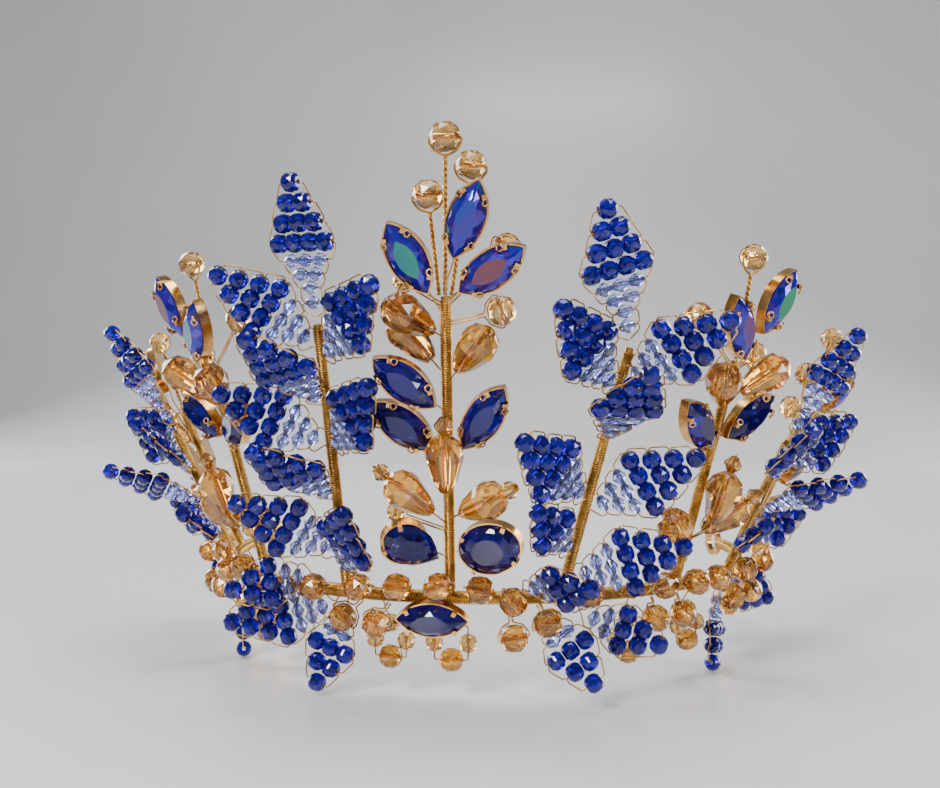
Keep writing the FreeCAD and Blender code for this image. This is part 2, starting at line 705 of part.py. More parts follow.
def add_spire_piece(spire, stem, piece):
    """One stone, drop or bead on its own twig of a spire."""
    kind, height, stand_off, turn, pitch, reach = piece
    names = spire_nodes(spire)
    frame = frame_at(stem[0], stem[4])
    beside = TWIG_SPREAD * math.sin(math.radians(turn)) if stand_off > 0 else 0.0
    root = Vector(stem_u(stem, height) + beside, height, stand_off)
    local = aim(root, turn, pitch)
    pose = frame.multiply(local)
    end = reach
    if kind in ("ab", "navy"):
        centre = reach + dim("navette_length") / 2
        seat = pose.multiply(Placement(Vector(0, centre, 0), Rotation()))
        add(names[kind], NAVETTE, seat)
        add(names["setting"], NAVETTE_SETTING, seat)
        end = reach + 2.0
    elif kind == "pear":
        seat = pose.multiply(Placement(Vector(0, reach + dim("pear_length") / 2, 0), Rotation()))
        add(names["crystal"], PEAR, seat)
        add(names["setting"], PEAR_SETTING, seat)
        end = reach + 2.0
    elif kind == "oval":
        seat = pose.multiply(Placement(Vector(0, reach + dim("oval_length") / 2, 0), Rotation()))
        add(names["crystal"], OVAL, seat)
        add(names["setting"], OVAL_SETTING, seat)
        end = reach + 2.0
    elif kind in ("teardrop", "tipped_teardrop"):
        add(names["teardrop"], TEAR, pose.multiply(Placement(Vector(0, reach, 0), Rotation())))
        end = reach + dim("teardrop_length") + 0.6
        if kind == "tipped_teardrop":
            tip = reach + dim("teardrop_length") + 0.3
            add(names["bead"], TIP_BEAD, pose.multiply(Placement(Vector(0, tip, 0), Rotation())))
            end = tip + TIP_LENGTH + 0.5
    elif kind in ("round", "small", "navy_bead"):
        bead = BERRY if kind == "round" else SMALL_BEAD
        width = dim("berry_width") if kind == "round" else dim("small_bead_width")
        length = BERRY_LENGTH if kind == "round" else SMALL_LENGTH
        centre = reach + width / 2
        add(names["bead"], bead, pose.multiply(Placement(Vector(0, centre, 0), Rotation())))
        add(names["wire"], looped_wire(centre, length, width, 0.3 if stand_off else 1.1), pose)
        return
    sunk = -0.62 if kind in ("ab", "navy", "pear", "oval") else 0.0
    points = [local.multVec(Vector(0, 1.5, sunk)), local.multVec(Vector(0, end, sunk))]
    if stand_off:
        low = height - TWIG_CLIMB
        front = math.sqrt(dim("stem_wrap_radius") ** 2 - beside**2)
        start = Vector(stem_u(stem, low) + beside, low, front - 0.1)
        points[0] = local.multVec(Vector(0, 0, sunk))
        points.insert(0, start)
    add(names["wire"], bent_wire(points, 0.5, TWIG_WIRE), frame)


def add_sprig(name, sprig):
    """A trembling sprig: its doubled wire, and the bead that turns on it."""
    spire, beside, turn, pitch, length = sprig
    stem = SPIRE_STEMS[spire]
    root = Vector(stem[2] + beside, stem[3] + SPRIG_CLEARANCE, 0)
    pose = frame_at(stem[0], stem[4]).multiply(aim(root, turn, pitch))
    add(f"{name}_wire", looped_wire(length, BERRY_LENGTH, dim("berry_width")), pose)
    add(f"{name}_bead", BERRY, pose.multiply(Placement(Vector(0, length, 0), Rotation())))


def add_berry(berry):
    """A champagne bead on a doubled wire bound to the band."""
    bearing, rise, turn, pitch, length = berry
    pose = frame_at(bearing).multiply(aim(Vector(0, rise, 0), turn, pitch))
    root = dim("band_wrap_radius") - 0.1
    add("garland_berries", BERRY, pose.multiply(Placement(Vector(0, root + length, 0), Rotation())))
    lifted = pose.multiply(Placement(Vector(0, root, 0), Rotation()))
    add("garland_wires", looped_wire(length, BERRY_LENGTH, dim("berry_width")), lifted)


def add_ring(bearing):
    """A hanging ring: a square of wire with a bead on three sides and a golden drop below."""
    half = RING_HALF_SIDE
    centre = Vector(0, RING_DROP_HEIGHT + half, 0)
    angle = math.radians(bearing)
    out = Vector(math.sin(angle), -math.cos(angle), 0)
    along = Vector(math.cos(angle), math.sin(angle), 0)
    foot = polar(bearing, BAND_RADIUS - 2.2, 0)
    rows = [(along[i], (0, 0, 1)[i], out[i], foot[i]) for i in range(3)]
    frame = Placement(Matrix(*rows[0], *rows[1], *rows[2], 0, 0, 0, 1))
    upright = Rotation(Vector(0, 0, 1), 90)
    below = Placement(centre - Vector(0, half, 0), Rotation())
    above = Placement(centre + Vector(0, half, 0), Rotation())
    add("garland_golden_drops", DROP_BEAD, frame.multiply(below))
    add("garland_ring_beads", SMALL_BEAD, frame.multiply(above))
    for x in (-half, half):
        add("garland_ring_beads", SMALL_BEAD, frame.multiply(Placement(centre + Vector(x, 0, 0), upright)))
    top = dim("band_height") - 1.4
    corners = [
        Vector(-1.0, top, 1.7),
        Vector(-1.0, centre.y + half + 2.6, 0),
        Vector(-half, centre.y + half + 1.2, 0),
        Vector(-half, centre.y - half, 0),
        Vector(half, centre.y - half, 0),
        Vector(half, centre.y + half, 0),
        Vector(-half + 0.5, centre.y + half, 0),
    ]
    add("garland_wires", bent_wire(corners, 0.5, TWIG_WIRE), frame)


def add_band_navette():
    """The navy stone that lies along the front of the band in a claw setting."""
    frame = frame_at(-4.2)
    seat = Placement(Vector(0, -3.6, 2.1), Rotation(Vector(0, 0, 1), 90))
    add("band_navette", NAVETTE, frame.multiply(seat))
    add("band_navette_setting", NAVETTE_SETTING, frame.multiply(seat))


def build_nodes():
    """Every sub-part of the crown, before it is set on its base."""
    sweep = dim("band_half_sweep")
    turn = Placement(Vector(0, 0, dim("band_height")), Rotation(Vector(0, 0, 1), -90 - sweep))
    add("band_core_wire", CORE.Shape, turn)
    step = 2 * sweep / WRAP_SEGMENTS
    for i in range(WRAP_SEGMENTS):
        spin = Rotation(Vector(0, 0, 1), -90 - sweep + i * step + 0.1)
        add("band_binding_wrap", WRAP.Shape, Placement(Vector(0, 0, dim("band_height")), spin))
    for side, node in ((-1, "left_end_eye"), (1, "right_end_eye")):
        reach = math.degrees((dim("eye_outer_radius") + 0.12) / BAND_RADIUS)
        bearing = side * (sweep + reach)
        centre = polar(bearing, BAND_RADIUS - dim("eye_thickness") / 2, dim("band_height"))
        out = polar(bearing, 1, 0)
        add(node, EYE.Shape, Placement(centre, Rotation(Vector(0, 0, 1), out)))
    for spire, stem in SPIRE_STEMS.items():
        add_stem(f"{spire}_spire_stem", "spire_stem_wraps", stem)
        mirrored = spire in MIRRORED_SPIRES
        for piece in SPIRES[MIRRORED_SPIRES.get(spire, spire)]:
            kind, height, stand_off, angle, pitch, reach = piece
            facing = -angle if mirrored else angle
            add_spire_piece(spire, stem, (kind, height, stand_off, facing, pitch, reach))
    for branch, stem in BRANCH_STEMS.items():
        add_stem(f"{branch}_branch_stem", "branch_stem_wraps", stem)
        for leaf in LEAVES[branch]:
            add_leaf(branch, stem, leaf)
    for name, sprig in SPRIGS.items():
        add_sprig(name, sprig)
    for berry in BERRIES:
        add_berry(berry)
    for bearing in RING_BEARINGS:
        add_ring(bearing)
    add_band_navette()


def write_nodes():
    """Set the crown on its base, check every object and write one STEP file per node."""
    box = FreeCAD.BoundBox()
    for solids in nodes.values():
        for solid in solids:
            box.add(solid.BoundBox)
    shift = Vector(-box.Center.x, -box.Center.y, -box.ZMin)
    parts = []
    for name, solids in nodes.items():
        part = doc.addObject("Part::Feature", name)
        part.Label = name
        part.Shape = Part.makeCompound(solids) if len(solids) > 1 else solids[0]
        part.Placement = Placement(shift, Rotation()).multiply(part.Placement)
        parts.append(part)
    doc.recompute()
    for item in doc.Objects:
        if "Invalid" in item.State or "Error" in item.State:
            raise RuntimeError(f"{item.Name} failed: {item.State}")
    for part in parts:
        if part.Shape.isNull() or not part.Shape.isValid():
            raise RuntimeError(f"{part.Label} has no valid shape")
    os.makedirs("parts", exist_ok=True)
    for part in parts:
        part.Shape.exportStep(f"parts/{part.Label}.step")
    print(f"{len(parts)} nodes, {sum(len(p.Shape.Solids) for p in parts)} solids")
    size = (box.XLength, box.YLength, box.ZLength)
    print("shift", [round(x, 3) for x in shift], "size", [round(x, 2) for x in size])


build_nodes()
write_nodes()
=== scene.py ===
import json
import math
import random

import bpy
import numpy as np
from mathutils import Matrix, Vector


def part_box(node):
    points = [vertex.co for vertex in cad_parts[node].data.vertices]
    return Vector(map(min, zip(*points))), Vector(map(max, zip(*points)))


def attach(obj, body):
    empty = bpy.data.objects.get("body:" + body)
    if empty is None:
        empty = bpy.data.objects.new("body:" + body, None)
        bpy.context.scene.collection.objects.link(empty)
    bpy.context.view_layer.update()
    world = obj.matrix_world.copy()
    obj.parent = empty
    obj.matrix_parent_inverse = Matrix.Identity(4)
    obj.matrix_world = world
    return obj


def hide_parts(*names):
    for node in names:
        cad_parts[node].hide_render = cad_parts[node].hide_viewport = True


# A beaded wire crown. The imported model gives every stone, bead and wire its place; this script
# gives the glass its cut, the wire its winding and everything its material. Metres, +Z up.

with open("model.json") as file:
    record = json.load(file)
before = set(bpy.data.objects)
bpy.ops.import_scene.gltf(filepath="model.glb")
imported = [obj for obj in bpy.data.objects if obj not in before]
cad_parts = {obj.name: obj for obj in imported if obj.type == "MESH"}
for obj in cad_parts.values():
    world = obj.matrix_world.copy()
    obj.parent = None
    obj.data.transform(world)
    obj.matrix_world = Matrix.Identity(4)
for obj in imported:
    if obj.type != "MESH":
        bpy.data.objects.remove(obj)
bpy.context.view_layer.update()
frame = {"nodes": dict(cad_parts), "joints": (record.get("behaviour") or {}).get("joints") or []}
random.seed(11)
nodes = frame["nodes"]
joints = {j["name"]: j for j in frame["joints"]}
MM = 0.001

BRANCHES = ("left_inner", "right_inner", "left_outer", "right_outer")
SPIRES = ("centre", "left_inner", "right_inner", "left_outer", "right_outer")
SPRIGS = tuple(name[: -len("_sway")] for name in joints if name.endswith("_sway"))

BAND_RADIUS = 68.0 * MM
BAND_SWEEP = math.radians(103.9)
BAND_WRAP = 1.5 * MM
STEM_WRAP = 1.25 * MM
WOUND_WIRE = 0.23 * MM
WOUND_PITCH = 0.5 * MM
SPRIG_WIRE = 0.25 * MM

# The ring claws: across and along the stone as shares of its half size, up as a share of its height.
CLAW_RADIUS = 0.62 * MM
CLAW_WIRE = 0.2 * MM
CLAW_ACROSS = 0.74
CLAW_ALONG = 0.56
CLAW_HEIGHT = 0.36
CLAW_LEAN = math.radians(32)

# Cut beads are a little smaller than the bored ones that they stand for.
BEAD_FIT = 0.995
# The sprigs' twisted legs: a point every step, one turn every pitch, each leg off the middle by
# a share of its radius.
TWIST_STEP = 0.14
TWIST_PITCH = 2.3
TWIST_OFFSET = 0.98
GLASS_ROUGHNESS = 0.01

# The camera, from the middle of the band at the band's height, and the way it looks.
CAMERA_FROM_BAND = Vector((24.7 * MM, -277.9 * MM, 43.0 * MM))
CAMERA_AIM = Vector((-0.1045, 0.9945, 0.0))
CAMERA_LENS = 38.3


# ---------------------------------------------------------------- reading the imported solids


def solids_of(node):
    """Every separate solid of a node, as its own points and triangles."""
    mesh = nodes[node].data
    points = np.empty(len(mesh.vertices) * 3)
    mesh.vertices.foreach_get("co", points)
    mesh.calc_loop_triangles()
    corners = np.empty(len(mesh.loop_triangles) * 3, dtype=np.int64)
    mesh.loop_triangles.foreach_get("vertices", corners)
    keys = np.round(points.reshape(-1, 3) * 1e6).astype(np.int64)
    welded, back = np.unique(keys, axis=0, return_inverse=True)
    triangles = back.reshape(-1)[corners].reshape(-1, 3)
    places = welded * 1e-6
    label = np.arange(len(places))
    while True:
        before = label.copy()
        low = label[triangles].min(axis=1)
        for side in range(3):
            np.minimum.at(label, triangles[:, side], low)
        label = label[label]
        if (label == before).all():
            break
    owner = label[triangles[:, 0]]
    order = np.argsort(owner, kind="stable")
    cuts = np.flatnonzero(np.diff(owner[order])) + 1
    return [places[triangles[group]] for group in np.split(order, cuts)]


def measure(faces):
    """Centre, principal axes (least spread first) and lean along each axis of a closed surface."""
    normals = np.cross(faces[:, 1] - faces[:, 0], faces[:, 2] - faces[:, 0])
    area = np.linalg.norm(normals, axis=1) / 2
    middle = faces.mean(axis=1)
    total = area.sum()
    centre = (middle * area[:, None]).sum(axis=0) / total
    away = faces - centre
    spread = np.einsum("n,nki,nkj->ij", area, away, away)
    spread += 9 * np.einsum("n,ni,nj->ij", area, middle - centre, middle - centre)
    values, vectors = np.linalg.eigh(spread / (12 * total))
    lean = (area[:, None] * ((middle - centre) @ vectors) ** 3).sum(axis=0)
    return centre, values, vectors, lean


def extent(faces, centre, axis):
    """Lowest and highest reach of a surface along an axis, from its centre."""
    along = (faces.reshape(-1, 3) - centre) @ axis
    return along.min(), along.max()


def frame_from(x_axis, y_axis, origin):
    """A placement from two square axes and an origin."""
    x_axis = Vector(x_axis).normalized()
    y_axis = (Vector(y_axis) - x_axis * x_axis.dot(Vector(y_axis))).normalized()
    z_axis = x_axis.cross(y_axis)
    matrix = Matrix((x_axis, y_axis, z_axis)).transposed().to_4x4()
    matrix.translation = Vector(origin)
    return matrix


def turned_places(node):
    """(placement, half width, length) of each bead of a node; its axis is the placement's +Z."""
    places = []
    for faces in solids_of(node):
        centre, values, vectors, lean = measure(faces)
        pick = 0 if values[1] - values[0] > values[2] - values[1] else 2
        axis = vectors[:, pick] * (1 if lean[pick] <= 0 else -1)
        low, high = extent(faces, centre, axis)
        side = vectors[:, 1]
        reach = faces.reshape(-1, 3) - centre
        square = reach - np.outer(reach @ axis, axis)
        half_width = np.linalg.norm(square, axis=1).max()
        middle = centre + axis * (low + high) / 2
        y_axis = np.cross(axis, side)
        places.append((frame_from(side, y_axis, middle), half_width, high - low))
    return places


CENTRE = Vector((0.0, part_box("band_core_wire")[0].y + BAND_RADIUS + 1.1 * MM, 0.0))
BAND_HEIGHT = (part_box("band_core_wire")[0].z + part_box("band_core_wire")[1].z) / 2


def stone_places(node):
    """(placement, length, width, height) of each flat stone; +Y runs along it and +Z faces out."""
    places = []
    for faces in solids_of(node):
        centre, _, vectors, lean = measure(faces)
        outward = centre - np.array((CENTRE.x, CENTRE.y, centre[2] + 0.02))
        face = vectors[:, 0] * (1 if vectors[:, 0] @ outward > 0 else -1)
        long_way = vectors[:, 2] * (1 if lean[2] <= 0 else -1)
        side = np.cross(long_way, face)
        spans = [extent(faces, centre, axis) for axis in (side, long_way, face)]
        axes = (side, long_way, face)
        middle = centre + sum(axis * sum(span) / 2 for axis, span in zip(axes, spans))
        sizes = [high - low for low, high in spans]
        places.append((frame_from(side, long_way, middle), sizes[1], sizes[0], sizes[2]))
    return places


# ---------------------------------------------------------------- mesh pieces


class Cut:
    """Points and faces gathered into one mesh, with a tint for each stone or bead."""

    def __init__(self):
        self.points = []
        self.faces = []
        self.tints = []
        self.facets = []
        self.tables = []
        self.smooth = []

    def add(self, points, faces, matrix, tint=0.5, smooth=False, table=False):
        base = len(self.points)
        self.points += [matrix @ Vector(p) for p in points]
        self.faces += [tuple(base + i for i in face) for face in faces]
        self.tints += [tint] * len(points)
        self.facets += [0.5 if smooth else random.random() for _ in faces]
        self.tables += [0.0] * len(faces)
        if table:
            self.tables[-1] = 1.0
        self.smooth += [smooth] * len(faces)

    def build(self, name, material, body, replaced):
        mesh = bpy.data.meshes.new(name)
        mesh.from_pydata(self.points, [], self.faces)
        mesh.validate()
        mesh.polygons.foreach_set("use_smooth", self.smooth)
        tint = mesh.attributes.new("tint", "FLOAT", "POINT")
        tint.data.foreach_set("value", self.tints)
        facet = mesh.attributes.new("facet", "FLOAT", "FACE")
        facet.data.foreach_set("value", self.facets)
        table = mesh.attributes.new("table", "FLOAT", "FACE")
        table.data.foreach_set("value", self.tables)
        mesh.materials.append(material)
        mesh.update()
        piece = bpy.data.objects.new(name, mesh)
        bpy.context.scene.collection.objects.link(piece)
        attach(piece, body)
        if replaced:
            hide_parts(*replaced)
        return piece


def faceted(profile, sides, bore):
    """A cut bead about Z from -0.5 to 0.5 of its length: rings of facets, each ring half a step on.

    The profile is (share of the half width, height, half steps turned) from hole to hole.
    """
    points = []
    faces = []
    rings = [(bore, *profile[0][1:]), *profile, (bore, *profile[-1][1:])]
    for radius, height, turned in rings:
        for i in range(sides):
            angle = 2 * math.pi * (i + turned / 2) / sides
            points.append((radius * math.cos(angle), radius * math.sin(angle), height))
    for ring in range(len(rings) - 1):
        here, there = rings[ring][2], rings[ring + 1][2]
        for i in range(sides):
            j = (i + 1) % sides
            a, b = ring * sides + i, ring * sides + j
            c, d = (ring + 1) * sides + j, (ring + 1) * sides + i
            if here == there:
                faces.append((a, b, c, d))
            elif there > here:
                faces += [(a, b, d), (b, c, d)]
            else:
                faces += [(a, b, c), (a, c, d)]
    last = (len(rings) - 1) * sides
    for i in range(sides):
        j = (i + 1) % sides
        faces.append((last + i, last + j, j, i))
    return points, faces


RONDELLE = faceted(
    (
        (0.56, -0.5, 0),
        (0.9, -0.32, 1),
        (1.0, -0.06, 0),
        (1.0, 0.06, 0),
        (0.9, 0.32, 1),
        (0.56, 0.5, 0),
    ),
    10,
    0.25,
)
BICONE = faceted(((0.42, -0.5, 0), (0.97, -0.06, 1), (0.97, 0.06, 1), (0.42, 0.5, 0)), 8, 0.3)
ROUND = faceted(
    (
        (0.38, -0.5, 0),
        (0.76, -0.38, 1),
        (0.97, -0.15, 0),
        (0.97, 0.15, 1),
        (0.76, 0.38, 0),
        (0.38, 0.5, 1),
    ),
    9,
    0.17,
)
DROP = faceted(
    (
        (0.28, -0.5, 0),
        (0.5, -0.38, 1),
        (0.66, -0.26, 0),
        (0.98, 0.1, 0),
        (1.0, 0.2, 0),
        (0.86, 0.37, 1),
        (0.4, 0.5, 0),
    ),
    10,
    0.125,
)


def navette_outline(count):
    """A pointed oval, points at +Y and -Y, in shares of its half width and half length."""
    side = []
    for i in range(count):
        y = -math.cos(math.pi * i / count)
        side.append((1 - y * y * (0.55 + 0.45 * abs(y)), y))
    return [(x, y) for x, y in side] + [(-x, -y) for x, y in side]


def oval_outline(count):
    """An oval in shares of its half width and half length."""
    steps = [2 * math.pi * i / (2 * count) - math.pi / 2 for i in range(2 * count)]
    return [(math.cos(a), math.sin(a)) for a in steps]


def pear_outline(count):
    """A drop with its narrow end at -Y."""
    outline = []
    for x, y in oval_outline(count):
        narrow = 1.0 if y > 0 else 1.0 - 0.55 * y * y
        outline.append((x * narrow, y))
    return outline


def brilliant(outline):
    """A stone with table, crown facets, girdle and stepped back, z from -0.5 to 0.5; table last."""
    count = len(outline)
    shapes = ((0.5, -0.5), (0.86, -0.22), (1.0, -0.06), (1.0, 0.02), (0.8, 0.3), (0.54, 0.5))
    points = []
    for i, (scale, height) in enumerate(shapes):
        half = 0.5 if i in (1, 4) else 0.0
        for k in range(count):
            x0, y0 = outline[k]
            x1, y1 = outline[(k + 1) % count]
            x, y = x0 + (x1 - x0) * half, y0 + (y1 - y0) * half
            points.append((x * scale, y * scale, height))
    faces = [tuple(reversed(range(count)))]
    for ring in range(len(shapes) - 1):
        shifted = ring in (1, 4)
        onto = ring + 1 in (1, 4)
        for k in range(count):
            m = (k + 1) % count
            a, b = ring * count + k, ring * count + m
            d, c = (ring + 1) * count + k, (ring + 1) * count + m
            if not shifted and not onto:
                faces.append((a, b, c, d))
            elif onto:
                faces += [(a, b, d), (b, c, d)]
            else:
                faces += [(a, b, c), (a, c, d)]
    faces.append(tuple((len(shapes) - 1) * count + k for k in range(count)))
    return points, faces


NAVETTE = brilliant(navette_outline(7))
OVAL = brilliant(oval_outline(8))
PEAR = brilliant(pear_outline(8))


def scaled(x, y, z):
    """A scale matrix."""
    return Matrix.Diagonal((x, y, z, 1.0))


def ring(radius, wire, steps=14, sides=6):
    """A round wire ring about Z, as points and faces."""
    points = []
    faces = []
    for i in range(steps):
        angle = 2 * math.pi * i / steps
        for k in range(sides):
            around = 2 * math.pi * k / sides
            reach = radius + wire * math.cos(around)
            points.append((reach * math.cos(angle), reach * math.sin(angle), wire * math.sin(around)))
            ahead = ((i + 1) % steps) * sides
            m = (k + 1) % sides
            faces.append((i * sides + k, ahead + k, ahead + m, i * sides + m))
    return points, faces


def ring_claws(name, node_names):
    """Four small wire rings that hold each stone by the edge of its crown."""
    made = Cut()
    points, faces = ring(CLAW_RADIUS, CLAW_WIRE)
    for node in node_names:
        for matrix, length, width, height in stone_places(node):
            for across, along in ((1, 1), (1, -1), (-1, 1), (-1, -1)):
                x = across * CLAW_ACROSS * width / 2
                y = along * CLAW_ALONG * length / 2
                place = Matrix.Translation((x, y, height * CLAW_HEIGHT))
                lean = Matrix.Rotation(across * CLAW_LEAN, 4, "Y")
                made.add(points, faces, matrix @ place @ lean, 0.5, True)
    return made.build(name, setting_gold, "crown", [])


def beads(name, cut_for, material, body, node):
    """Faceted beads in place of every turned solid of a node."""
    made = Cut()
    for matrix, half, length in turned_places(node):
        points, faces = cut_for(half, length)
        spin = Matrix.Rotation(random.uniform(0, 2 * math.pi), 4, "Z")
        fit = scaled(half * BEAD_FIT, half * BEAD_FIT, length * BEAD_FIT)
        made.add(points, faces, matrix @ spin @ fit, random.random())
    return made.build(name, material, body, [node])


def stones(name, cut_for, material, body, node):
    """Cut stones in place of every flat solid of a node."""
    made = Cut()
    for i, (matrix, length, width, height) in enumerate(stone_places(node)):
        points, faces = cut_for(length, width)
        fit = scaled(width / 2, length / 2, height)
        made.add(points, faces, matrix @ fit, (i * 0.381 + 0.13) % 1.0, table=True)
    return made.build(name, material, body, [node])


def tube(points, radius, sides=7):
    """A round closed tube along a dense path, as points and faces."""
    rings = []
    count = len(points)
    side = None
    for i, point in enumerate(points):
        ahead = (points[min(i + 1, count - 1)] - points[max(i - 1, 0)]).normalized()
        if side is None:
            side = ahead.orthogonal().normalized()
        side = (side - ahead * side.dot(ahead)).normalized()
        other = ahead.cross(side)
        for k in range(sides):
            angle = 2 * math.pi * k / sides
            rings.append(point + (side * math.cos(angle) + other * math.sin(angle)) * radius)
    faces = []
    for i in range(count - 1):
        for k in range(sides):
            m = (k + 1) % sides
            faces.append((i * sides + k, i * sides + m, (i + 1) * sides + m, (i + 1) * sides + k))
    faces.append(tuple(reversed(range(sides))))
    faces.append(tuple((count - 1) * sides + k for k in range(sides)))
    return rings, faces


def winding(length, place, radius, pitch, wire, made, sides=6, per_turn=11):
    """One wire wound a little unevenly round a path.

    place(s) gives the path's point, its tangent and two axes square to it.
    """
    turns = length / pitch
    steps = int(turns * per_turn)
    points = []
    wobble = 0.0
    for i in range(steps + 1):
        if i % 3 == 0:
            wobble = 0.7 * wobble + random.gauss(0, 0.02) * pitch
        travel = min(max(length * i / steps + wobble, 0.0), length)
        angle = 2 * math.pi * turns * i / steps
        origin, tangent, first, second = place(travel)
        out = first * math.cos(angle) + second * math.sin(angle)
        centre = origin + out * radius
        for k in range(sides):
            around = 2 * math.pi * k / sides
            points.append(centre + (out * math.cos(around) + tangent * math.sin(around)) * wire)
    faces = []
    for i in range(steps):
        for k in range(sides):
            m = (k + 1) % sides
            faces.append((i * sides + k, (i + 1) * sides + k, (i + 1) * sides + m, i * sides + m))
    made.add(points, faces, Matrix.Identity(4), 0.5, True)


# ---------------------------------------------------------------- materials


def node_of(tree, kind, **values):
    """A shader node with its inputs set by name."""
    made = tree.nodes.new(kind)
    for name, value in values.items():
        made.inputs[name.replace("_", " ")].default_value = value
    return made


def noise(tree, scale, detail=2.0):
    """A noise value in the object's own coordinates."""
    place = tree.nodes.new("ShaderNodeTexCoord")
    made = node_of(tree, "ShaderNodeTexNoise", Scale=scale, Detail=detail)
    tree.links.new(place.outputs["Object"], made.inputs["Vector"])
    return made.outputs["Fac"]


def ramp(tree, factor, stops):
    """A colour ramp over a factor; stops are (place, colour)."""
    made = tree.nodes.new("ShaderNodeValToRGB")
    bands = made.color_ramp.elements
    while len(bands) < len(stops):
        bands.new(0.5)
    for band, (place, colour) in zip(bands, stops):
        band.position = place
        band.color = (*colour, 1.0)
    tree.links.new(factor, made.inputs["Fac"])
    return made.outputs["Color"]


def mix(tree, kind, factor, first, second):
    """A colour mix; a factor or colour is a socket or a plain value."""
    made = tree.nodes.new("ShaderNodeMix")
    made.data_type = "RGBA"
    made.blend_type = kind
    for slot, value in ((0, factor), (6, first), (7, second)):
        if isinstance(value, bpy.types.NodeSocket):
            tree.links.new(value, made.inputs[slot])
        else:
            made.inputs[slot].default_value = value if slot == 0 else (*value, 1.0)
    return made.outputs[2]


def math_of(tree, kind, *values):
    """A math node over sockets or numbers."""
    made = tree.nodes.new("ShaderNodeMath")
    made.operation = kind
    for slot, value in enumerate(values):
        if isinstance(value, bpy.types.NodeSocket):
            tree.links.new(value, made.inputs[slot])
        else:
            made.inputs[slot].default_value = value
    return made.outputs[0]


def carried(tree, name):
    """A number from 0 to 1: a tint for each bead, one for each facet, or 1 on a stone's table."""
    made = tree.nodes.new("ShaderNodeAttribute")
    made.attribute_name = name
    return made.outputs["Fac"]


def new_material(name):
    material = bpy.data.materials.new(name)
    material.use_nodes = True
    return material, material.node_tree, material.node_tree.nodes["Principled BSDF"]


def gold(name, colour, dark, roughness, grain):
    """Gold-coloured metal with tarnish in patches and drawn-wire grain."""
    material, tree, shader = new_material(name)
    patches = ramp(tree, noise(tree, 260.0, 4.0), ((0.3, dark), (0.62, colour)))
    tree.links.new(patches, shader.inputs["Base Color"])
    shader.inputs["Metallic"].default_value = 1.0
    rough = math_of(tree, "MULTIPLY_ADD", noise(tree, 900.0), 0.2, roughness - 0.1)
    tree.links.new(rough, shader.inputs["Roughness"])
    bump = node_of(tree, "ShaderNodeBump", Strength=grain, Distance=0.00004)
    tree.links.new(noise(tree, 4200.0, 3.0), bump.inputs["Height"])
    tree.links.new(bump.outputs["Normal"], shader.inputs["Normal"])
    return material


def glass(name, face, rim, deep, transmission, cut=0.6, shine=0.5):
    """Cut glass: one colour face on, another at the edges as painted edge shade (a painted lighter
    edge on navy), and a deep one in streaks.

    cut is how much painted highlight and shade change from one facet to the next, and shine how
    strongly the surface mirrors.
    """
    material, tree, shader = new_material(name)
    # Painted edge shade: the colour moves from face to rim where the glass is seen edge-on.
    facing = node_of(tree, "ShaderNodeLayerWeight", Blend=0.42).outputs["Facing"]
    body = mix(tree, "MIX", facing, face, rim)
    black_to_white = ((0.38, (0.0, 0.0, 0.0)), (0.66, (1.0, 1.0, 1.0)))
    streaks = ramp(tree, noise(tree, 520.0, 3.0), black_to_white)
    body = mix(tree, "MIX", math_of(tree, "MULTIPLY", streaks, 0.4), body, deep)
    spread = math_of(tree, "MULTIPLY_ADD", carried(tree, "tint"), 0.4, 0.78)
    # Painted facet highlight and shade: each facet's colour is made lighter or darker at random, by as
    # much as cut.
    painted_facet_shading = math_of(tree, "MULTIPLY_ADD", carried(tree, "facet"), cut, 1.0 - cut / 2)
    spread = math_of(tree, "MULTIPLY", spread, painted_facet_shading)
    shade = tree.nodes.new("ShaderNodeVectorMath")
    shade.operation = "SCALE"
    tree.links.new(body, shade.inputs[0])
    tree.links.new(spread, shade.inputs["Scale"])
    tree.links.new(shade.outputs[0], shader.inputs["Base Color"])
    shader.inputs["Transmission Weight"].default_value = transmission
    shader.inputs["IOR"].default_value = 1.54
    shader.inputs["Specular IOR Level"].default_value = shine
    rough = math_of(tree, "MULTIPLY_ADD", noise(tree, 700.0), 0.06, GLASS_ROUGHNESS)
    tree.links.new(rough, shader.inputs["Roughness"])
    return material


